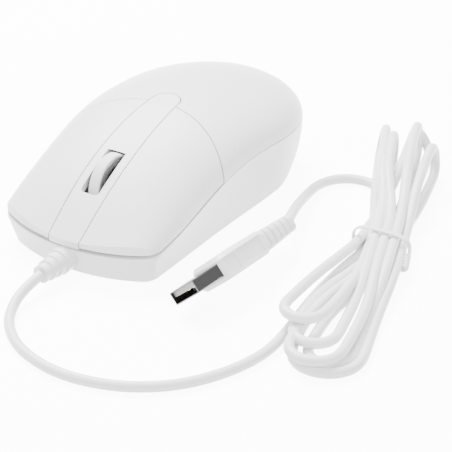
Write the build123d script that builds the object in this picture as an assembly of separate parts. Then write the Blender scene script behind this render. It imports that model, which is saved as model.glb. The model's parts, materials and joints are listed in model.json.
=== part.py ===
"""Corded optical mouse: shells, buttons, wheel, switches, electronics, cord and USB plug.

Millimetres. The origin is on the floor under the middle of the body, +Z is up, the nose
(where the cord leaves) points along -Y, and +X is the side of the right button.
"""
from build123d import *
from math import cos, pi, radians, sin, tan
import os

os.makedirs("parts", exist_ok=True)

# ---- driving dimensions of the body ----
LENGTH = 120.0
WIDTH = 68.0
NOSE_WIDTH = 59.4
NOSE_Y = -LENGTH / 2
TAIL_Y = LENGTH / 2
WIDEST_Y = 20.0
CROWN_Y = 6.0                # the dome is highest here
CROWN_Z = 37.8
NOSE_TOP = 12.8
SEAM_NOSE = 10.2             # the seam between top and bottom rises from the nose
SEAM_CREST = 23.8            # to its highest point
SEAM_TAIL = 21.0             # and falls to the tail
SEAM_CREST_Y = 3.0
NOSE_TUCK = 2.6              # how far the bottom's edge lies in from the seam
SIDE_TUCK = 4.4
SIDE_WAIST = 0.42            # share of the tuck left at mid height: below a half is hollow
TAIL_WAIST = 0.85            # and above a half is full
TAIL_RISE_Y = 47.0           # the bottom rounds up from here to the tail
NOSE_SQUARE = 2.6            # exponent of the dome's section: fuller at the nose,
TAIL_SQUARE = 1.95           # an ellipse at the rear
TAIL_FULLNESS = 2.05         # exponent of the rear's plan
STATIONS = 13                # sections that the shells are lofted through
WALL = 2.0
FEET = 0.8                   # the glide feet lift the bottom shell by this
PANEL_GAP = 0.45             # between neighbouring top panels
LIP_GAP = 1.0                # under the button lips, room for the click
SEAM_GAP = 0.3              # between the palm cover and the bottom shell
NOSE_BOW_RADIUS = 57.0       # plan radius of the bowed nose
CORNER_RADIUS = 5.5          # plan radius of the nose's corners
UNDERCUT = 2.7               # how far the nose leans in below UNDERCUT_TOP
UNDERCUT_TOP = 9.0

# ---- top panels ----
SPINE_NOSE_HALF = 5.4        # half-width of the centre strip at the nose,
SPINE_HALF = 6.2             # where it is widest
SPINE_WIDEST_Y = -32.0
SPINE_TIP_HALF = 4.9         # and where its round rear tip begins
SPINE_TIP_Y = 4.2
ARC_Y = -2.2                 # the panel line behind the buttons would cross x = 0 here
ARC_CURVE = 0.0122           # and runs forward as this times x squared
SLOT_HALF = 3.5
SLOT_Y = (-45.5, -29.0)

# ---- scroll wheel ----
WHEEL_Y = -33.0
WHEEL_Z = 20.5
WHEEL_R = 10.3
TYRE_HALF = 1.9
TYRE_T = 1.4                 # tread's depth, seated between the hub's two flanges
FLANGE_HALF = 2.3
FLANGE_DROP = 0.7            # from the tread's top down to the flanges
AXLE_R = 1.5
AXLE_HALF = 7.3

# ---- circuit board and switches ----
BOARD_Z = 6.2
BOARD_T = 1.6
BOARD_TOP = BOARD_Z + BOARD_T
BOARD_HALF = 21.0
BOARD_Y = (-51.0, 30.0)
SWITCH = (5.8, 12.8, 6.5)
SWITCH_X = 17.5
SWITCH_Y = -43.6
PLUNGER_Y = -46.0
PLUNGER_R = 1.1
TACT = 6.0
TACT_X = 12.0
TACT_H = 4.1
TAB_Z = 13.2
CONTACT_GAP = 0.3            # between a plunger and what presses it

# ---- cord and plug ----
CORD_D = 3.4
FLOOR_Z = CORD_D / 2
BOOT_Z = 5.7
BOOT_END_Y = -72.0
BOOT_STEPS = [(4.4, 4.0), (3.9, 3.0), (3.5, 3.0), (3.0, 2.9)]   # radius and length, outwards
PLUG_TIP = (46.9, -61.2, 8.6)
PLUG_END = (51.75, -8.0, 8.6)
PLUG_ROLL = 42.0             # the plug lies rolled onto the edge of its grip
USB_W, USB_T = 12.0, 4.5
USB_WALL = 0.35              # sheet of the metal shell
TONGUE_FRONT, TONGUE_T, TONGUE_Z = 1.0, 1.7, 0.95
CONTACT_FRONT, CONTACT_LEN, CONTACT_W, CONTACT_T = 3.6, 5.1, 1.0, 0.2
CONTACT_X = (-3.5, -1.2, 1.2, 3.5)
GRIP_W, GRIP_T = 15.6, 8.2
SHELL_OUT = 11.8             # metal shell that stands out of the grip
GRIP_LEN = 21.7
GRIP_NOSE_R = 4.0            # plan radius of the grip's front corners
PANELS = [(16.5, 6.6), (26.4, 11.4)]   # let into the grip's narrow sides: middle and length
PANEL_W, PANEL_DEPTH = 5.6, 0.5
RIBS = 6                     # on the grip's cord relief
RIB_GAP = 1.1
GRIP_EDGE = 1.2              # chamfer along the grip
HANK_H = 11.5
TIE_T = 0.6
TIE_W = 1.8

parts = {}


# ---- small helpers ----
def box(x, y, z):
    """A box between pairs of limits."""
    size = [high - low for low, high in (x, y, z)]
    centre = [(high + low) / 2 for low, high in (x, y, z)]
    return Pos(*centre) * Box(*size)


def post(x, y, z, radius):
    """An upright cylinder between two heights."""
    return Pos(x, y, (z[0] + z[1]) / 2) * Cylinder(radius, z[1] - z[0])


def path(*points):
    """Straight edges from point to point."""
    return [Line(a, b) for a, b in zip(points, points[1:])]


def rod_x(x, y, z, radius):
    """A cylinder along X between two limits."""
    return Pos((x[0] + x[1]) / 2, y, z) * Rot(0, 90, 0) * Cylinder(radius, x[1] - x[0])


def rod_y(x, y, z, radius):
    """A cylinder along Y between two limits."""
    return Pos(x, (y[0] + y[1]) / 2, z) * Rot(90, 0, 0) * Cylinder(radius, y[1] - y[0])


def common(shape, *tools):
    """What the shape shares with every tool."""
    for tool in tools:
        shape = Part(Compound(children=list((shape & tool).solids())).wrapped)
    return shape


# ---- the body's form ----
def ease(share):
    """Smooth step from 0 to 1."""
    return (1 - cos(pi * min(max(share, 0), 1))) / 2


def quarter(share, exponent=2.0):
    """Falls from 1 to 0 along a quarter of a round curve."""
    return (1 - min(max(share, 0), 1) ** exponent) ** (1 / exponent)


def half_width(y):
    """Half of the plan width at the seam."""
    half = WIDTH / 2
    if y < WIDEST_Y:
        return half - (half - NOSE_WIDTH / 2) * ((WIDEST_Y - y) / (WIDEST_Y - NOSE_Y)) ** 1.1
    return half * quarter((y - WIDEST_Y) / (TAIL_Y - WIDEST_Y), TAIL_FULLNESS)


def top_height(y):
    """Height of the dome's ridge: a parabola to the nose and a round quarter to the tail."""
    if y < CROWN_Y:
        return CROWN_Z - (CROWN_Z - NOSE_TOP) * ((CROWN_Y - y) / (CROWN_Y - NOSE_Y)) ** 2
    return SEAM_TAIL + (CROWN_Z - SEAM_TAIL) * quarter((y - CROWN_Y) / (TAIL_Y - CROWN_Y))


def seam_height(y):
    """Height of the seam between the top and the bottom."""
    if y < SEAM_CREST_Y:
        return SEAM_CREST - (SEAM_CREST - SEAM_NOSE) * ease((SEAM_CREST_Y - y) / (SEAM_CREST_Y - NOSE_Y))
    return SEAM_CREST - (SEAM_CREST - SEAM_TAIL) * ease((y - SEAM_CREST_Y) / (TAIL_Y - SEAM_CREST_Y))


def bottom_height(y):
    """Height of the underside, which rounds up to the seam at the tail."""
    share = (y - TAIL_RISE_Y) / (TAIL_Y - TAIL_RISE_Y)
    return FEET + (SEAM_TAIL - FEET) * (1 - quarter(share))


def foot_half(y):
    """Half-width of the underside."""
    tuck = NOSE_TUCK + (SIDE_TUCK - NOSE_TUCK) * ease(2 * (y - NOSE_Y) / LENGTH)
    return half_width(y) - min(tuck, 0.6 * half_width(y))


def waist_share(y):
    """How much of the tuck is left at mid height."""
    return SIDE_WAIST + (TAIL_WAIST - SIDE_WAIST) * ease((y - 15) / (TAIL_RISE_Y + 6 - 15))


def squareness(y):
    """Exponent of the dome's section."""
    return NOSE_SQUARE + (TAIL_SQUARE - NOSE_SQUARE) * min(max((y - NOSE_Y) / 86, 0), 1)


def station_y(count):
    """Where a section lies: just outside the nose first, closest together at the tail."""
    first, last = NOSE_Y - 2.0, TAIL_Y - 0.1
    return last - (last - first) * (1 - count / (STATIONS - 1)) ** 1.7


def top_section(y, inset=0.0, skirt=0.0):
    """Closed outline of the dome at one station, with an optional straight skirt below."""
    wide = half_width(y) - inset
    seam = seam_height(y)
    rise = top_height(y) - inset - seam
    power = 2 / squareness(y)
    arch = [(wide, y, seam)]
    for step in range(1, 12):
        turn = pi * step / 12
        x = wide * abs(cos(turn)) ** power * (1 if cos(turn) >= 0 else -1)
        arch.append((x, y, seam + rise * sin(turn) ** power))
    arch.append((-wide, y, seam))
    if skirt:
        hem = path(arch[-1], (-wide, y, seam - skirt), (wide, y, seam - skirt), arch[0])
    else:
        hem = path(arch[-1], arch[0])
    return Wire([Spline(arch)] + hem)


def low_section(y, inset=0.0, rise=0.0):
    """Closed outline of the lower body at one station."""
    wide = half_width(y) - inset
    foot = max(foot_half(y) - inset, 0.8)
    low = bottom_height(y) + inset
    seam = seam_height(y)
    waist = foot + waist_share(y) * (wide - foot)
    side = [(wide, y, seam + rise), (waist, y, (low + seam) / 2), (foot, y, low)]
    other = [(-x, y, z) for x, y, z in reversed(side)]
    return Wire([Spline(side), Line(side[-1], other[0]), Spline(other), Line(other[-1], side[0])])


def nose_outline(inset, z):
    """Plan of everything behind the bowed nose, with round corners."""
    side = half_width(NOSE_Y) - inset
    front = NOSE_Y + inset
    corner_y = front + NOSE_BOW_RADIUS - (NOSE_BOW_RADIUS ** 2 - side ** 2) ** 0.5
    back = half_width(-40) - inset
    bow = ThreePointArc((-side, corner_y), (0, front), (side, corner_y))
    rest = path((side, corner_y), (back, -40), (60, 90), (-60, 90), (-back, -40), (-side, corner_y))
    face = Face(Wire([bow] + rest))
    corners = [v for v in face.vertices() if abs(v.Y - corner_y) < 0.01]
    return Pos(0, 0, z) * face.fillet_2d(CORNER_RADIUS, corners)


def inner_y(y):
    """Where a station of the inner form lies, drawn in by one wall at both ends."""
    return y * (LENGTH - 2 * WALL) / LENGTH


upright = extrude(nose_outline(0, UNDERCUT_TOP), 50, dir=(0, 0, 1))
leaning = loft([nose_outline(UNDERCUT, 0.0), nose_outline(0, UNDERCUT_TOP)])
nose_trim = upright + leaning
inner_trim = Pos(0, WALL, 0) * nose_trim

stations = [station_y(count) for count in range(STATIONS)]
inner_stations = stations[:-2]   # the inner form ends earlier, where a wall still fits
dome = Solid.make_loft([top_section(y) for y in stations])
dome_inner = Solid.make_loft([
    Pos(0, inner_y(y) - y, 0) * top_section(y, WALL, 3.0) for y in inner_stations
])
lower = Solid.make_loft([low_section(y) for y in stations])
lower_inner = Solid.make_loft([
    Pos(0, inner_y(y) - y, 0) * low_section(y, WALL, 3.0) for y in inner_stations
])


def below_seam(lift):
    """Everything under the seam surface raised by lift."""
    line = Spline([(0, y, seam_height(y) + lift) for y in stations + [TAIL_Y + 6]])
    first, last = line @ 0, line @ 1
    hem = path(last, (0, last.Y, -5), (0, first.Y, -5), first)
    return extrude(Face(Wire([line] + hem)), 45, dir=(1, 0, 0), both=True)


def arc_region(shift):
    """Plan region in front of the line behind the buttons, moved along Y by shift."""
    line = [(x, ARC_Y + shift - ARC_CURVE * x * x) for x in range(-40, 50, 10)]
    rest = path(line[-1], (40, -80), (-40, -80), line[0])
    return extrude(Face(Wire([Spline(line)] + rest)), 60, dir=(0, 0, 1))


def spine_region(grow):
    """Plan region of the centre strip, grown all round."""
    nose, wide, tip = (half + grow for half in (SPINE_NOSE_HALF, SPINE_HALF, SPINE_TIP_HALF))
    tip_start = SPINE_TIP_Y - SPINE_TIP_HALF
    outline = [
        ThreePointArc((nose, NOSE_Y - 5), (wide, SPINE_WIDEST_Y), (tip, tip_start)),
        ThreePointArc((tip, tip_start), (0, SPINE_TIP_Y + grow), (-tip, tip_start)),
        ThreePointArc((-tip, tip_start), (-wide, SPINE_WIDEST_Y), (-nose, NOSE_Y - 5)),
        Line((-nose, NOSE_Y - 5), (nose, NOSE_Y - 5)),
    ]
    return extrude(Face(Wire(outline)), 60, dir=(0, 0, 1))


shell = common(dome - common(dome_inner, inner_trim), nose_trim)
front = arc_region(-PANEL_GAP)
keep_spine = spine_region(0)
clear_spine = spine_region(PANEL_GAP)


def wheel_slot():
    """The slot in the centre strip that the wheel stands out of."""
    y0, y1 = SLOT_Y
    slot = Pos(0, (y0 + y1) / 2, 0) * RectangleRounded(2 * SLOT_HALF, y1 - y0, 1.6)
    return extrude(slot, 60, dir=(0, 0, 1))


# ---- top panels ----
def palm_cover():
    """Rear cover, with the long screw post that holds the two shells together."""
    cover = shell - arc_region(0) - clear_spine
    pillar = common(post(0, 40, (8.3, 36), 3.4), dome)
    pillar -= post(0, 40, (0, 20), 1.2)
    cover = cover + pillar
    return cover - below_seam(SEAM_GAP)


def centre_spine():
    """Centre strip from the nose to its round tip, with the slot and room under it for the wheel."""
    strip = common(shell, keep_spine) - wheel_slot() - below_seam(SEAM_GAP)
    return strip - rod_x((-SLOT_HALF, SLOT_HALF), WHEEL_Y, WHEEL_Z, WHEEL_R + 0.6)


def button(side):
    """Left (-1) or right (+1) button with the post over its switch."""
    half_space = box(sorted((0, side * 50)), (-80, 60), (0, 60))
    panel = common(shell, front, half_space) - clear_spine
    panel -= below_seam(LIP_GAP)
    foot = BOARD_TOP + SWITCH[2] + 1.0 + CONTACT_GAP
    presser = common(post(side * SWITCH_X, PLUNGER_Y, (foot, 34), 1.6), dome)
    return panel + presser


# ---- bottom shell ----
def bottom_shell():
    """Waisted tray with board standoffs, the screw boss, the lens window and the cord hole."""
    tray = common(lower - common(lower_inner, inner_trim), nose_trim)
    floor_top = FEET + WALL
    for x, y in ((-18, -22), (18, -22), (-15, 26), (15, 26)):
        tray += post(x, y, (floor_top - 0.3, BOARD_Z), 2.6)
    tray += post(0, 40, (floor_top - 0.3, 8.0), 4.2)
    tray -= post(0, 40, (0, 9), 1.7)
    tray -= post(0, 40, (0, FEET + 1.4), 3.3)
    tray -= box((-3.4, 3.4), (2, 9), (0, 4))
    tray -= rod_y(0, (-64, -54), BOOT_Z, 3.4)
    return tray


# ---- scroll wheel and its cradle ----
def wheel_tyre():
    """Rubber tread ring with shallow cross grooves."""
    rim = rod_x((-TYRE_HALF, TYRE_HALF), WHEEL_Y, WHEEL_Z, WHEEL_R)
    edges = rim.edges().filter_by(GeomType.CIRCLE)
    rim = fillet(edges, 0.5)
    return rim - rod_x((-5, 5), WHEEL_Y, WHEEL_Z, WHEEL_R - TYRE_T)


def wheel_hub():
    """Clear plastic hub with windows for the light beam and an axle pin at each side."""
    hub = rod_x((-FLANGE_HALF, FLANGE_HALF), WHEEL_Y, WHEEL_Z, WHEEL_R - TYRE_T)
    for x in ((-FLANGE_HALF, -TYRE_HALF), (TYRE_HALF, FLANGE_HALF)):
        hub += rod_x(x, WHEEL_Y, WHEEL_Z, WHEEL_R - FLANGE_DROP)
    hub -= rod_x((1.0, 3.0), WHEEL_Y, WHEEL_Z, WHEEL_R - 3.0)
    hub -= rod_x((-3.0, -1.0), WHEEL_Y, WHEEL_Z, WHEEL_R - 3.0)
    for count in range(12):
        turn = 360 / 12 * count
        window = Pos(0, WHEEL_Y, WHEEL_Z) * Rot(turn, 0, 0) * Pos(0, 0, 5.4) * Box(6, 1.3, 2.2)
        hub -= window
    hub += rod_x((-2.6, 2.6), WHEEL_Y, WHEEL_Z, 3.0)
    return hub + rod_x((-AXLE_HALF, AXLE_HALF), WHEEL_Y, WHEEL_Z, AXLE_R)


def wheel_cradle():
    """U-shaped carrier: two bearings joined under the wheel, and an arm out to each side."""
    base_z = (4.0, 5.6)
    cradle = box((-7.4, 7.4), (WHEEL_Y - 4, WHEEL_Y + 4), base_z)
    for side in (-1, 1):
        x = sorted((side * 5.4, side * 7.4))
        cradle += box(x, (WHEEL_Y - 4, WHEEL_Y + 4), (base_z[0], WHEEL_Z))
        cradle += rod_x(x, WHEEL_Y, WHEEL_Z, 4.0)
        cradle += box(sorted((side * 7.4, side * 15)), (WHEEL_Y - 2.6, WHEEL_Y + 2.6), (TAB_Z, TAB_Z + 1.6))
    return cradle - rod_x((-9, 9), WHEEL_Y, WHEEL_Z, AXLE_R + 0.06)


def cradle_spring():
    """Coil spring that lifts the cradle, between the board and its left arm."""
    wire = 0.3
    rise = TAB_Z - BOARD_TOP - 2 * wire
    coil = Helix(pitch=rise / 4, height=rise, radius=1.9)
    start = Plane(origin=coil @ 0, z_dir=coil % 0)
    spring = sweep(start * Circle(wire), path=coil, is_frenet=True)
    return Pos(-TACT_X, WHEEL_Y, BOARD_TOP + wire) * spring


# ---- switches and electronics ----
def switch_body(side):
    """Micro switch under a button."""
    x = side * SWITCH_X
    wide, long, high = SWITCH
    body = Pos(x, SWITCH_Y, BOARD_TOP + high / 2) * Box(wide, long, high)
    body = chamfer(body.edges().group_by(Axis.Z)[-1], 0.4)
    return body - post(x, PLUNGER_Y, (BOARD_TOP + high - 1.5, BOARD_TOP + high + 1), PLUNGER_R + 0.08)


def plunger(x, y, top, radius):
    """Switch plunger, with room in its switch for the travel."""
    return post(x, y, (top - 1.4, top), radius)


def tact_body():
    """Small switch under the cradle's right arm."""
    half = TACT / 2
    top = BOARD_TOP + TACT_H
    body = box((TACT_X - half, TACT_X + half), (WHEEL_Y - half, WHEEL_Y + half), (BOARD_TOP, top))
    body = chamfer(body.edges().filter_by(Axis.Z), 0.5)
    return body - post(TACT_X, WHEEL_Y, (top - 1.5, top + 1), 1.7 + 0.08)


def circuit_board():
    """Board with a cross-shaped slot for wheel and cradle and a window for the lens."""
    board = box((-BOARD_HALF, BOARD_HALF), BOARD_Y, (BOARD_Z, BOARD_TOP))
    board = fillet(board.edges().filter_by(Axis.Z), 2)
    board -= box((-4.2, 4.2), (WHEEL_Y - 12, WHEEL_Y + 12), (0, 20))
    board -= box((-8.0, 8.0), (WHEEL_Y - 4.8, WHEEL_Y + 4.8), (0, 20))
    return board - box((-3, 3), (2.5, 8.5), (0, 20))


def beam_part(side):
    """Infra-red emitter (-1) or receiver (+1) beside the wheel."""
    x = sorted((side * 4.5, side * 6.9))
    body = box(x, (-43.4, -39.4), (BOARD_TOP, 16.5))
    body = fillet(body.edges().filter_by(Axis.X), 0.6)
    return body + Pos(side * 4.5, -41.4, 14.4) * Sphere(0.9)


def sensor_lens():
    """Clear lens and light pipe between the floor window and the sensor."""
    plate = box((-4.5, 4.5), (-0.5, 17), (FEET + WALL + 0.1, BOARD_Z - 0.1))
    plate -= Pos(0, 13, FEET + WALL + 0.2) * Rot(35, 0, 0) * Box(20, 4, 2)
    return plate + post(0, 5.5, (BOARD_Z - 0.2, BOARD_TOP - 0.2), 2.2)


def sensor_chip():
    """Optical sensor in a dual-in-line package, with its row of legs."""
    chip = box((-4.6, 4.6), (0.5, 11.5), (BOARD_TOP, BOARD_TOP + 3.2))
    chip = chamfer(chip.edges().group_by(Axis.Z)[-1], 0.5)
    for row in range(4):
        for side in (-1, 1):
            y = 2 + row * 2.6
            chip += box(sorted((side * 4.5, side * 5.6)), (y - 0.3, y + 0.3), (BOARD_TOP, BOARD_TOP + 1.8))
    return chip


def illumination_led():
    """Round lamp that lights the desk through the lens."""
    dome_end = Pos(0, 14.6, 12.0) * Sphere(2.5)
    collar = rod_y(0, (21.6, 22.6), 12.0, 2.9)
    return rod_y(0, (14.6, 22.6), 12.0, 2.5) + dome_end + collar


def led_clip():
    """Black clip that holds the lamp on the board."""
    clip = box((-4.4, 4.4), (15.5, 21.0), (BOARD_TOP, 16.0))
    clip = fillet(clip.edges().filter_by(Axis.Y).group_by(Axis.Z)[-1], 1.5)
    return clip - rod_y(0, (10, 25), 12.0, 2.56)


def crystal():
    """Oscillator can."""
    can = box((-18.5, -7.5), (-15, -10.4), (BOARD_TOP, BOARD_TOP + 3.5))
    return fillet(can.edges().filter_by(Axis.Z), 2.2)


def capacitors():
    """Two electrolytic capacitors."""
    return [post(14, -14, (BOARD_TOP, 16), 2.5), post(14, -6, (BOARD_TOP, 14), 2.0)]


def resistors():
    """Row of small resistors."""
    return [rod_x((-14, -9), y, BOARD_TOP + 0.9, 0.9) for y in (2, 6, 10, 14)]


def cable_socket():
    """Socket where the cord's wires plug into the board."""
    socket = box((-13.4, -8.2), (-50, -40), (BOARD_TOP, 13.6))
    for count in range(4):
        y = -48.5 + count * 2.3
        socket -= box((-12.6, -9.0), (y, y + 1.5), (12.0, 14))
    return socket


def cable_wires():
    """Four fine wires from the strain relief up into the socket."""
    wires = []
    for count in range(4):
        start = (-0.9 + 0.6 * count, -54.8, BOOT_Z)
        end = (-10.8, -47.75 + count * 2.3, 12.3)
        high = (-10.8 + 0.1 * count, -50.5 + count * 2.0, 13.8 + 0.3 * count)
        route = Spline([start, (-4 + 0.7 * count, -53.0, 9.5), high, end])
        plane = Plane(origin=route @ 0, z_dir=route % 0)
        wires.append(sweep(plane * Circle(0.3), path=route))
    return wires


# ---- fastener and feet ----
def case_screw():
    """The one screw that closes the case from below."""
    screw = post(0, 40, (FEET + 0.2, FEET + 1.4), 2.8)
    screw += post(0, 40, (FEET + 1.3, 16), 1.35)
    for across, along in ((1.7, 0.4), (0.4, 1.7)):
        screw -= box((-across, across), (40 - along, 40 + along), (0, FEET + 0.8))
    return screw


def glide_feet():
    """Four low-friction pads under the case."""
    pads = []
    for x, y, long, wide in ((-14, -46, 12, 5.5), (14, -46, 12, 5.5), (-13, 33, 12, 6), (13, 33, 12, 6)):
        pads.append(Pos(x, y, 0) * extrude(SlotOverall(long, wide), FEET))
    return pads


# ---- cord, strain relief and plug ----
def strain_relief():
    """Moulded boot: flange inside the wall, neck through it, stepped collar outside."""
    boot = rod_y(0, (-55.6, -54.6), BOOT_Z, 4.6) + rod_y(0, (-59.6, -55.0), BOOT_Z, 3.2)
    y = BOOT_END_Y + sum(length for radius, length in BOOT_STEPS)
    for radius, length in BOOT_STEPS:
        boot += rod_y(0, (y - length, y), BOOT_Z, radius)
        y -= length
    return boot


def route_tube(points):
    """Cord along straight runs joined by the largest arcs that their lengths allow."""
    vectors = [Vector(*point) for point in points]
    runs = [b - a for a, b in zip(vectors, vectors[1:])]
    radii = []
    for before, after in zip(runs, runs[1:]):
        turn = radians(before.get_angle(after))
        radii.append(0.45 * min(before.length, after.length) / tan(turn / 2))
    line = FilletPolyline(*points, radius=radii)
    tube = sweep(Plane(origin=points[0], z_dir=runs[0]) * Circle(CORD_D / 2), path=line)
    expected = pi * CORD_D ** 2 / 4 * line.length
    print("cord radii", [round(r, 1) for r in radii], "length", round(line.length, 1),
          "volume ratio", round(tube.volume / expected, 4))
    return tube


LEAD = [
    (0, BOOT_END_Y, BOOT_Z), (-0.8, -79.5, 4.4), (0.5, -88.0, 2.2), (6.0, -97.0, FLOOR_Z),
    (17.5, -105.5, FLOOR_Z), (34.5, -109.5, FLOOR_Z), (52.0, -106.0, FLOOR_Z), (66.0, -97.0, FLOOR_Z),
    (75.0, -84.0, FLOOR_Z), (80.0, -69.0, FLOOR_Z), (79.5, -55.0, FLOOR_Z),
]
TAIL = [
    (71.0, 13.0, 3.6), (69.3, 20.5, 2.4), (66.9, 29.8, FLOOR_Z), (63.6, 39.0, FLOOR_Z),
    (57.4, 43.7, FLOOR_Z), (49.8, 44.1, FLOOR_Z), (43.4, 40.1, FLOOR_Z), (40.4, 33.1, FLOOR_Z),
    (42.3, 22.4, 3.4), (45.2, 11.9, 5.8), (48.5, 1.6, 7.9), PLUG_END,
]

# The hank: where the tie holds it, and the round ends of its turns as x, y and radius.
TIE_PLACE = (82.0, 3.0)
TIE_RADIUS = 9.6
UPPER_ENDS = [(50.5, 62.0, 7.0), (56.0, 59.0, 7.0), (60.0, 69.5, 7.5), (61.0, 72.0, 7.0), (71.5, 59.0, 6.5)]
LOWER_ENDS = [
    (82.3, -48.0, 8.4), (89.0, -53.5, 8.6), (93.2, -60.5, 10.0), (96.0, -56.5, 8.8), (95.5, -57.5, 12.6),
]


def cord_hank():
    """Outer form of the tied hank: each turn narrows from its round end to the tie."""
    waist = Pos(*TIE_PLACE) * Circle(TIE_RADIUS)
    outline = waist
    for x, y, radius in UPPER_ENDS + LOWER_ENDS:
        end = Pos(x, y) * Circle(radius)
        outline += make_hull(waist.edges() + end.edges())
    return extrude(outline, HANK_H)


def cord_tie():
    """Twist tie: a thin band arched over the hank's middle, with its twisted ends at one side."""
    x, y = TIE_PLACE
    outer = Plane.XZ * RectangleRounded(2 * (TIE_RADIUS + TIE_T), 2 * (HANK_H + TIE_T), 4.0)
    inner = Plane.XZ * RectangleRounded(2 * TIE_RADIUS, 2 * HANK_H, 4.0 - TIE_T)
    band = extrude(outer - inner, TIE_W / 2, both=True)
    band = common(band, box((-20, 20), (-5, 5), (0, 20)))
    twist = Pos(TIE_RADIUS + TIE_T + 0.8, -3.0, 4.2) * Rot(90, 0, 12) * Cylinder(1.3, 7.0)
    return Pos(x, y, 0) * (band + twist)


def plug_frame():
    """Frame of the plug: origin at the tip, X across the broad side, Y back along the plug."""
    tip, end = Vector(*PLUG_TIP), Vector(*PLUG_END)
    along = (end - tip).normalized()
    level = along.cross(Vector(0, 0, 1))
    across = level.rotate(Axis((0, 0, 0), along), -PLUG_ROLL)
    return Plane(origin=tip, x_dir=across, z_dir=across.cross(along)).location


def usb_shell():
    """Folded metal shell of the plug, open at the tip, with its latch windows."""
    length = SHELL_OUT + 3
    tube = Pos(0, length / 2, 0) * Box(USB_W, length, USB_T)
    tube = fillet(tube.edges().filter_by(Axis.Y), 0.6)
    tube -= Pos(0, length / 2 - 1, 0) * Box(USB_W - 2 * USB_WALL, length, USB_T - 2 * USB_WALL)
    for x in (-2.7, 2.7):
        tube -= Pos(x, 6.5, 0) * Box(2.0, 2.2, 10)
    return tube


def usb_tongue():
    """Insulator inside the shell that carries the contacts."""
    wide, high = USB_W - 0.9, USB_T - 0.9
    slab = Pos(0, TONGUE_FRONT + SHELL_OUT / 2, TONGUE_Z) * Box(wide, SHELL_OUT, TONGUE_T)
    back = Pos(0, SHELL_OUT - 1.0, 0) * Box(wide, 4, high)
    return slab + back


def usb_contacts():
    """Four contact strips under the tongue."""
    strip = Box(CONTACT_W, CONTACT_LEN, CONTACT_T)
    return [Pos(x, CONTACT_FRONT + CONTACT_LEN / 2, 0) * strip for x in CONTACT_X]


def across_plug(y, wide, thick, corner):
    """Rounded section square to the plug's length."""
    return Plane(origin=(0, y, 0), x_dir=(1, 0, 0), z_dir=(0, 1, 0)) * RectangleRounded(wide, thick, corner)


def usb_grip():
    """Moulded grip: round front corners, panels let into its narrow sides, and a ribbed relief."""
    neck_start = SHELL_OUT + GRIP_LEN
    total = (Vector(*PLUG_END) - Vector(*PLUG_TIP)).length
    body = Pos(0, SHELL_OUT + GRIP_LEN / 2, 0) * Box(GRIP_W, GRIP_LEN, GRIP_T)
    body = fillet(body.edges().filter_by(Axis.Z).group_by(Axis.Y)[0], GRIP_NOSE_R)
    body = chamfer(body.edges().filter_by(Axis.Y), GRIP_EDGE)
    for side in (-1, 1):
        for middle, length in PANELS:
            body -= Pos(side * GRIP_W / 2, middle, 0) * Box(2 * PANEL_DEPTH, length, PANEL_W)
    core_w, core_t = GRIP_W - 5.5, GRIP_T - 2.4
    core_start = across_plug(neck_start - 0.5, core_w, core_t, 2.0)
    body += loft([core_start, across_plug(total, 6.0, 4.8, 2.0)])
    pitch = (total - neck_start) / RIBS
    for count in range(RIBS):
        share = (count + 0.5) / RIBS
        rib_w, rib_t = GRIP_W - 2.5 - 5.5 * share, GRIP_T - 0.6 - 1.8 * share
        rib = across_plug(neck_start + pitch * count + RIB_GAP, rib_w, rib_t, 2.2)
        body += extrude(rib, pitch - RIB_GAP)
    return body - Pos(0, SHELL_OUT + 1.5, 0) * Box(USB_W, 3.0, USB_T)


# ---- write the parts ----
parts["bottom_shell"] = bottom_shell()
parts["palm_cover"] = palm_cover()
parts["centre_spine"] = centre_spine()
parts["left_button"] = button(-1)
parts["right_button"] = button(1)
parts["wheel_tyre"] = wheel_tyre()
parts["wheel_hub"] = wheel_hub()
parts["wheel_cradle"] = wheel_cradle()
parts["cradle_spring"] = cradle_spring()
parts["wheel_emitter"] = beam_part(-1)
parts["wheel_receiver"] = beam_part(1)
parts["circuit_board"] = circuit_board()
parts["left_switch"] = switch_body(-1)
parts["right_switch"] = switch_body(1)
parts["left_plunger"] = plunger(-SWITCH_X, PLUNGER_Y, BOARD_TOP + SWITCH[2] + 1.0, PLUNGER_R)
parts["right_plunger"] = plunger(SWITCH_X, PLUNGER_Y, BOARD_TOP + SWITCH[2] + 1.0, PLUNGER_R)
parts["wheel_switch"] = tact_body()
parts["wheel_plunger"] = plunger(TACT_X, WHEEL_Y, TAB_Z - CONTACT_GAP, 1.7)
parts["sensor_lens"] = sensor_lens()
parts["sensor_chip"] = sensor_chip()
parts["illumination_led"] = illumination_led()
parts["led_clip"] = led_clip()
parts["crystal"] = crystal()
parts["capacitors"] = capacitors()
parts["resistors"] = resistors()
parts["cable_socket"] = cable_socket()
parts["cable_wires"] = cable_wires()
parts["case_screw"] = case_screw()
parts["glide_feet"] = glide_feet()
parts["strain_relief"] = strain_relief()
parts["cord_lead"] = route_tube(LEAD)
parts["cord_hank"] = cord_hank()
parts["cord_tail"] = route_tube(TAIL)
parts["cord_tie"] = cord_tie()
plug = plug_frame()
parts["usb_shell"] = plug * usb_shell()
parts["usb_tongue"] = plug * usb_tongue()
parts["usb_contacts"] = [plug * strip for strip in usb_contacts()]
parts["usb_grip"] = plug * usb_grip()

for name, shape in parts.items():
    if isinstance(shape, list):
        shape = Compound(children=shape)
    export_step(shape, f"parts/{name}.step")
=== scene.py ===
"""Corded optical mouse on a pale floor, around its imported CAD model. Metres, +Z up, nose along -Y."""
import json
import math

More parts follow.
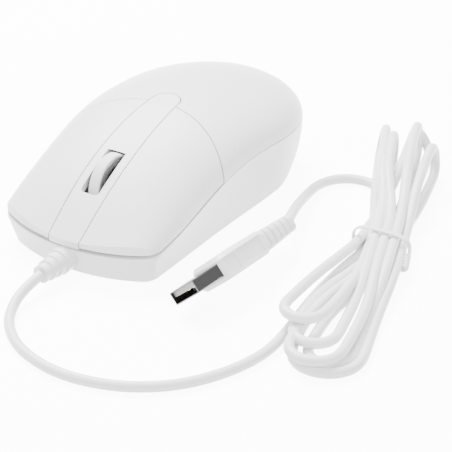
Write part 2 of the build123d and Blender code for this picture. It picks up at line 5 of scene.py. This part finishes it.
import bmesh
import bpy
import numpy as np
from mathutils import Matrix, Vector


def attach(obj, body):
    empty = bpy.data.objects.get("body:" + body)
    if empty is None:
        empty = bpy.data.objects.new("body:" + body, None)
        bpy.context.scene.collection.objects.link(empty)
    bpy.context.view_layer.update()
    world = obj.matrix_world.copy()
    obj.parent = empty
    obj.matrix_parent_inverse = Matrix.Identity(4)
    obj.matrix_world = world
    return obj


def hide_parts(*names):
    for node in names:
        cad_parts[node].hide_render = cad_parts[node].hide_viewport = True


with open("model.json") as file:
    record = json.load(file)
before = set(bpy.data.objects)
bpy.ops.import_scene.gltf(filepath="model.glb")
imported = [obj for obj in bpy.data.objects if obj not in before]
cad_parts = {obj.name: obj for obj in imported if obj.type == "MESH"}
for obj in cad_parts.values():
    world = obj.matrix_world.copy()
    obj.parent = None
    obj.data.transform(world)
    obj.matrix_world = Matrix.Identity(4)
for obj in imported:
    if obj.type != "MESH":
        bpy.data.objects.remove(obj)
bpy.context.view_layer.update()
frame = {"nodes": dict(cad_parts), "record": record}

MM = 0.001
SCENE = bpy.context.scene


# ---- camera ----
AZIMUTH = math.radians(32.2)     # the camera stands this far round from the nose towards +X
ELEVATION = math.radians(29.5)
DISTANCE = 0.6
AIM = Vector((0.0366, -0.0208, 0.0098))
LENS = 147.0


def make_camera():
    """Camera at the three-quarter view from the front right, above the button side."""
    data = bpy.data.cameras.new("camera")
    data.lens = LENS
    data.sensor_width = 36.0
    data.clip_start = 0.05
    data.clip_end = 20.0
    camera = bpy.data.objects.new("camera", data)
    away = Vector((math.sin(AZIMUTH), -math.cos(AZIMUTH), math.tan(ELEVATION))).normalized()
    camera.location = AIM + away * DISTANCE
    camera.rotation_euler = (math.pi / 2 - ELEVATION, 0.0, AZIMUTH)
    SCENE.collection.objects.link(camera)
    SCENE.camera = camera


# ---- cord: its route, in millimetres ----
CORD_D = 3.4
FLOOR_Z = CORD_D / 2
LEAD = [
    (0.0, -72.0, 5.7), (-0.8, -79.5, 4.4), (0.5, -88.0, 2.2), (6.0, -97.0, FLOOR_Z),
    (17.5, -105.5, FLOOR_Z), (34.5, -109.5, FLOOR_Z), (52.0, -106.0, FLOOR_Z), (66.0, -97.0, FLOOR_Z),
    (75.0, -84.0, FLOOR_Z), (80.0, -69.0, FLOOR_Z), (79.5, -55.0, FLOOR_Z), (77.0, -40.0, FLOOR_Z),
    (75.5, -25.0, FLOOR_Z), (75.2, -10.0, FLOOR_Z),
]
TAIL = [
    (71.0, 13.0, 3.6), (69.3, 20.5, 2.4), (66.9, 29.8, FLOOR_Z), (63.6, 39.0, FLOOR_Z),
    (57.4, 43.7, FLOOR_Z), (49.8, 44.1, FLOOR_Z), (43.4, 40.1, FLOOR_Z), (40.4, 33.1, FLOOR_Z),
    (42.3, 22.4, 3.4), (45.2, 11.9, 5.8), (48.5, 1.6, 7.9), (51.75, -8.0, 8.6),
]
TIE_Y = 3.0
TIE_AIM = 110.0              # plan direction of the bundle at the tie, towards the upper loops

# One row for each turn: x and height going up through the tie, the upper end, x and height coming
# back down through it, the lower end. An end is its centre, its aim, its half-width and its tilt.
TURNS = [
    ((75.8, 1.7), (50.5, 61.5, 7.6, 115, 5.9, 80), (79.0, 7.7), (89.0, -53.5, 5.0, -78, 6.8, 0)),
    ((79.2, 1.7), (56.0, 58.5, 7.7, 112, 5.9, 90), (82.4, 7.9), (93.2, -60.5, 5.0, -80, 8.2, 0)),
    ((84.1, 4.7), (60.0, 69.0, 7.8, 110, 6.0, 92), (85.8, 7.7), (96.0, -56.5, 1.8, -75, 6.9, 0)),
    ((86.8, 1.7), (71.5, 58.5, 7.3, 105, 5.6, 97), (88.6, 5.2), (95.5, -57.5, 1.7, -72, 10.8, 0)),
    ((82.6, 1.7), (61.0, 71.0, 6.6, 108, 5.3, 122), (77.4, 4.7), (82.3, -48.0, 8.4, -88, 6.6, 0)),
]
LAST_UP = (73.6, 4.7)
EIGHTH = math.radians(22.5)
STRAND_REACH = 0.32          # where a strand's two middle points lie, as a share of its length
SHOULDER = 0.9               # straight part beside a loop, in half-widths
LOOP_PULL = 0.6              # share of the loop's own direction where a strand meets it


def unit(v):
    return v / np.linalg.norm(v)


def plan(angle):
    """Unit vector in plan at an angle in degrees."""
    return np.array([math.cos(math.radians(angle)), math.sin(math.radians(angle)), 0.0])


def end_loop(x, y, z, aim, half, tilt):
    """Six points of a half turn with short straight shoulders, and its forward direction."""
    forward = plan(aim)
    lean = math.radians(tilt)
    side = half * (math.cos(lean) * plan(aim - 90) + math.sin(lean) * np.array([0.0, 0.0, 1.0]))
    centre = np.array([x, y, z])
    corners = []
    for step in (1, 3, 5, 7):
        turn = step * EIGHTH
        corner = -side * math.cos(turn) + forward * half * math.sin(turn)
        corners.append(centre + corner / math.cos(EIGHTH))
    shoulder = forward * half * SHOULDER
    return [centre - side - shoulder] + corners + [centre + side - shoulder], forward


def strand(knot, leave, shoulder, forward, follow):
    """Two points between the tie and a loop's shoulder."""
    length = np.linalg.norm(shoulder - knot)
    straight = unit(shoulder - knot)
    first = unit(follow * leave + (1 - follow) * straight)
    last = unit(LOOP_PULL * forward + (1 - LOOP_PULL) * straight)
    return [knot + first * length * STRAND_REACH, shoulder - last * length * STRAND_REACH]


def hank_points():
    """Route of all turns of the tied hank."""
    upward = plan(TIE_AIM)
    points = []
    next_up = [row[0] for row in TURNS[1:]] + [LAST_UP]
    for (up, tip, down, low), after in zip(TURNS, next_up):
        rise, fall, back = (np.array([x, TIE_Y, z]) for x, z in (up, down, after))
        arc, forward = end_loop(*tip)
        points += [rise] + strand(rise, upward, arc[0], forward, 1.0) + arc
        points += strand(fall, upward, arc[-1], forward, 1.0)[::-1] + [fall]
        arc, forward = end_loop(*low)
        points += strand(fall, -upward, arc[0], forward, 0.7) + arc
        points += strand(back, -upward, arc[-1], forward, 0.0)[::-1]
    return points + [back]


def nurbs_line(name, points, radius, cyclic=False):
    """A round bar along a smooth open or closed line through the control points, in millimetres."""
    data = bpy.data.curves.new(name, "CURVE")
    data.dimensions = "3D"
    data.bevel_depth = 1.0       # the tube's radius is this times each point's radius
    data.bevel_resolution = 6
    data.resolution_u = 12
    data.use_fill_caps = True
    spline = data.splines.new("NURBS")
    spline.points.add(len(points) - 1)
    for point, place in zip(spline.points, points):
        point.co = (place[0] * MM, place[1] * MM, place[2] * MM, 1.0)
        point.radius = radius * MM
    spline.use_cyclic_u = cyclic
    spline.order_u = 3
    spline.use_endpoint_u = not cyclic
    obj = bpy.data.objects.new(name, data)
    SCENE.collection.objects.link(obj)
    return obj


make_camera()
cord = nurbs_line("cord", LEAD + hank_points() + TAIL, CORD_D / 2)
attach(cord, "case")
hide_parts("cord_lead", "cord_hank", "cord_tail")


# ---- twist tie: a thin band over the hank's waist and two twisted ends ----
TIE_MIDDLE = (81.2, 5.1)         # middle of the bundle at the tie, as x and height
TIE_REACH = (9.8, 4.8)           # from there to the band, sideways and up
TIE_SQUARE = 3.2                 # exponent of the band's rounded form
TIE_W, TIE_T = 1.8, 0.55
TWIST_START = (91.2, 1.6, 4.6)
TWIST_AIM = unit(np.array([0.35, -0.9, -0.12]))
TWIST_LENGTH = 7.5
TWIST_TURNS = 2.5
TWIST_R, TWIST_WIRE = 0.75, 0.7


def bundle_ring(steps, outset):
    """Closed rounded line round the bundle, moved out by outset."""
    ring = []
    for step in range(steps):
        turn = 2 * math.pi * step / steps
        parts = []
        for value, reach in ((math.cos(turn), TIE_REACH[0]), (math.sin(turn), TIE_REACH[1])):
            parts.append(math.copysign(abs(value) ** (2 / TIE_SQUARE), value) * (reach + outset))
        ring.append((TIE_MIDDLE[0] + parts[0], TIE_MIDDLE[1] + parts[1]))
    return ring


def make_band(steps=56):
    """The flat band, as a closed strip with soft edges."""
    mesh = bmesh.new()
    rows = []
    for inside, outside in zip(bundle_ring(steps, 0.0), bundle_ring(steps, TIE_T)):
        sway = 0.5 * math.sin((inside[0] - TIE_MIDDLE[0]) / TIE_REACH[0])
        row = []
        for (x, z), across in ((inside, -1), (inside, 1), (outside, 1), (outside, -1)):
            y = TIE_Y + sway + across * TIE_W / 2
            row.append(mesh.verts.new((x * MM, y * MM, max(z, 0.05) * MM)))
        rows.append(row)
    for row, after in zip(rows, rows[1:] + rows[:1]):
        for corner in range(4):
            following = (corner + 1) % 4
            mesh.faces.new((row[corner], row[following], after[following], after[corner]))
    bmesh.ops.recalc_face_normals(mesh, faces=mesh.faces)
    data = bpy.data.meshes.new("twist_tie")
    mesh.to_mesh(data)
    mesh.free()
    band = bpy.data.objects.new("twist_tie", data)
    SCENE.collection.objects.link(band)
    edge = band.modifiers.new("edge", "BEVEL")
    edge.width = 0.15 * MM
    edge.segments = 2
    for polygon in data.polygons:
        polygon.use_smooth = True
    return band


def make_twist(name, phase, steps=24):
    """One of the two ends, wound round the other."""
    level = unit(np.cross(TWIST_AIM, np.array([0.0, 0.0, 1.0])))
    upright = np.cross(level, TWIST_AIM)
    points = []
    for step in range(steps + 1):
        turn = phase + 2 * math.pi * TWIST_TURNS * step / steps
        offset = math.cos(turn) * level + math.sin(turn) * upright
        reach = TWIST_LENGTH * step / steps * TWIST_AIM
        points.append(np.array(TWIST_START) + reach + TWIST_R * offset)
    return nurbs_line(name, points, TWIST_WIRE)


tie = make_band()
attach(tie, "case")
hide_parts("cord_tie")
twists = [make_twist("tie_end_" + side, phase) for side, phase in (("a", 0.0), ("b", math.pi))]
for twist in twists:
    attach(twist, "case")


# ---- materials ----
def new_material(name, colour, roughness, metallic=0.0, specular=0.5, coat=0.0, transmission=0.0):
    """A principled material and its shader node."""
    material = bpy.data.materials.new(name)
    material.use_nodes = True
    shader = material.node_tree.nodes["Principled BSDF"]
    shader.inputs["Base Color"].default_value = (*colour, 1.0)
    shader.inputs["Roughness"].default_value = roughness
    shader.inputs["Metallic"].default_value = metallic
    shader.inputs["Specular IOR Level"].default_value = specular
    shader.inputs["Coat Weight"].default_value = coat
    shader.inputs["Transmission Weight"].default_value = transmission
    return material, shader


def noise(material, scale, detail=3.0, stretch=(1.0, 1.0, 1.0)):
    """Noise in the object's own space, its scale in repeats per metre."""
    nodes, links = material.node_tree.nodes, material.node_tree.links
    place = nodes.new("ShaderNodeTexCoord")
    mapping = nodes.new("ShaderNodeMapping")
    mapping.inputs["Scale"].default_value = stretch
    texture = nodes.new("ShaderNodeTexNoise")
    texture.inputs["Scale"].default_value = scale
    texture.inputs["Detail"].default_value = detail
    links.new(place.outputs["Object"], mapping.inputs["Vector"])
    links.new(mapping.outputs["Vector"], texture.inputs["Vector"])
    return texture.outputs["Fac"]


def spread(material, source, low, high):
    """Maps a 0 to 1 value onto a range."""
    nodes, links = material.node_tree.nodes, material.node_tree.links
    mapper = nodes.new("ShaderNodeMapRange")
    mapper.inputs["From Min"].default_value = 0.3
    mapper.inputs["From Max"].default_value = 0.7
    mapper.inputs["To Min"].default_value = low
    mapper.inputs["To Max"].default_value = high
    links.new(source, mapper.inputs["Value"])
    return mapper.outputs["Result"]


def tint(material, shader, source, first, second):
    """Colour that wanders between two values."""
    nodes, links = material.node_tree.nodes, material.node_tree.links
    mix = nodes.new("ShaderNodeMix")
    mix.data_type = "RGBA"
    mix.inputs["A"].default_value = (*first, 1.0)
    mix.inputs["B"].default_value = (*second, 1.0)
    links.new(source, mix.inputs["Factor"])
    links.new(mix.outputs["Result"], shader.inputs["Base Color"])


def bump(material, shader, source, height, strength=1.0):
    """Fine relief of a real height in metres."""
    nodes, links = material.node_tree.nodes, material.node_tree.links
    relief = nodes.new("ShaderNodeBump")
    relief.inputs["Distance"].default_value = height
    relief.inputs["Strength"].default_value = strength
    links.new(source, relief.inputs["Height"])
    links.new(relief.outputs["Normal"], shader.inputs["Normal"])


def moulded(name, colour, roughness, grain=2600.0, height=0.00003, specular=0.5, swing=0.03):
    """Moulded plastic or rubber: fine spark-eroded grain, faint mottling in colour and gloss."""
    material, shader = new_material(name, colour, roughness, specular=specular)
    broad = noise(material, 45.0)
    darker = tuple(channel * (1 - swing) for channel in colour)
    tint(material, shader, broad, darker, colour)
    fine = noise(material, grain, 2.0)
    gloss = spread(material, fine, roughness - 0.05, roughness + 0.05)
    material.node_tree.links.new(gloss, shader.inputs["Roughness"])
    bump(material, shader, fine, height)
    return material


def metal(name, colour, roughness, stretch):
    """Bare metal with fine drawn lines."""
    material, shader = new_material(name, colour, roughness, metallic=1.0)
    lines = noise(material, 900.0, 2.0, stretch)
    gloss = spread(material, lines, roughness - 0.06, roughness + 0.08)
    material.node_tree.links.new(gloss, shader.inputs["Roughness"])
    bump(material, shader, lines, 0.000008)
    return material


def clear(name, colour, roughness, transmission):
    """Clear or smoky moulded plastic with faint flow lines."""
    material, shader = new_material(name, colour, roughness, transmission=transmission, coat=0.3)
    flow = noise(material, 260.0, 2.0, (1.0, 3.0, 1.0))
    gloss = spread(material, flow, roughness, roughness + 0.06)
    material.node_tree.links.new(gloss, shader.inputs["Roughness"])
    bump(material, shader, flow, 0.00001)
    return material


def laminate():
    """Lacquered green board with copper tracks under the lacquer."""
    material, shader = new_material("board_green", (0.03, 0.19, 0.08), 0.3, coat=0.4)
    tracks = noise(material, 420.0, 0.0, (1.0, 0.15, 1.0))
    tint(material, shader, spread(material, tracks, 0.0, 1.0), (0.02, 0.13, 0.05), (0.06, 0.27, 0.11))
    bump(material, shader, tracks, 0.00003)
    return material


SURFACES = {
    "white_case": moulded("white_case", (0.80, 0.80, 0.80), 0.42),
    "wheel_rubber": moulded("wheel_rubber", (0.76, 0.76, 0.76), 0.6, grain=1500.0, height=0.00006),
    "smoked_clear": clear("smoked_clear", (0.15, 0.155, 0.16), 0.14, 0.25),
    "natural_plastic": moulded("natural_plastic", (0.72, 0.70, 0.64), 0.45),
    "spring_steel": metal("spring_steel", (0.60, 0.60, 0.61), 0.3, (1.0, 8.0, 1.0)),
    "black_plastic": moulded("black_plastic", (0.025, 0.025, 0.027), 0.4, swing=0.2),
    "board_green": laminate(),
    "plunger_plastic": moulded("plunger_plastic", (0.70, 0.16, 0.09), 0.35),
    "clear_plastic": clear("clear_plastic", (0.92, 0.93, 0.94), 0.05, 0.95),
    "lamp_red": clear("lamp_red", (0.75, 0.05, 0.04), 0.08, 0.7),
    "resistor_body": moulded("resistor_body", (0.64, 0.52, 0.34), 0.3, swing=0.15),
    "wire_insulation": moulded("wire_insulation", (0.55, 0.08, 0.06), 0.4),
    "foot_film": moulded("foot_film", (0.62, 0.62, 0.62), 0.25, grain=1200.0),
    "cord_vinyl": moulded("cord_vinyl", (0.80, 0.80, 0.80), 0.38, grain=900.0, height=0.00002),
    "tie_vinyl": moulded("tie_vinyl", (0.82, 0.82, 0.82), 0.45, grain=1100.0),
    "plug_metal": metal("plug_metal", (0.065, 0.065, 0.066), 0.34, (6.0, 1.0, 6.0)),
    "plug_insulator": moulded("plug_insulator", (0.22, 0.22, 0.22), 0.4),
    "contact_gold": metal("contact_gold", (0.83, 0.62, 0.28), 0.22, (6.0, 1.0, 6.0)),
}

for subpart in frame["record"]["subparts"]:
    node = frame["nodes"][subpart["node"]]
    node.data.materials.clear()
    node.data.materials.append(SURFACES[subpart["material_slot"]])
cord.data.materials.append(SURFACES["cord_vinyl"])
for piece in [tie] + twists:
    piece.data.materials.append(SURFACES["tie_vinyl"])


# ---- soft moulded edges on the panels of the case ----
EDGE_ROUND = 0.35 * MM
EDGE_ANGLE = math.radians(40)    # edges sharper than this are rounded


def soften_edges(name):
    """Small rounded edges on one node."""
    soften = frame["nodes"][name].modifiers.new("soft_edge", "BEVEL")
    soften.width = EDGE_ROUND
    soften.segments = 2
    soften.limit_method = "ANGLE"
    soften.angle_limit = EDGE_ANGLE
    soften.harden_normals = True


for panel in ("palm_cover", "left_button", "right_button", "centre_spine", "bottom_shell"):
    soften_edges(panel)


# ---- floor and light ----
FLOOR_GLOW = 9.0             # seen by the camera and in reflections, with no diffuse light
SKY = 1.7


def make_stage():
    """Pale floor, and soft light from above, both sides and the front."""
    bpy.ops.mesh.primitive_plane_add(size=8.0, location=(0, 0, -0.0002))
    floor = bpy.context.object
    floor.name = "floor"
    material, shader = new_material("floor_white", (0.92, 0.92, 0.92), 0.9)
    shader.inputs["Emission Color"].default_value = (1, 1, 1, 1)
    shader.inputs["Emission Strength"].default_value = FLOOR_GLOW
    floor.data.materials.append(material)
    floor.visible_diffuse = False
    world = bpy.data.worlds.new("world")
    SCENE.world = world
    world.use_nodes = True
    world.node_tree.nodes["Background"].inputs["Color"].default_value = (1, 1, 1, 1)
    world.node_tree.nodes["Background"].inputs["Strength"].default_value = SKY
    for name, place, size, power in (
        ("key", (-0.5, 0.35, 0.9), 0.6, 46.0),
        ("fill", (0.9, -0.3, 0.7), 0.8, 8.0),
        ("front", (-0.2, -1.0, 0.7), 0.8, 9.0),
    ):
        data = bpy.data.lights.new(name, "AREA")
        data.size = size
        data.energy = power
        lamp = bpy.data.objects.new(name, data)
        lamp.location = place
        lamp.rotation_euler = (-Vector(place)).to_track_quat("-Z", "Y").to_euler()
        SCENE.collection.objects.link(lamp)


make_stage()
soft = cord
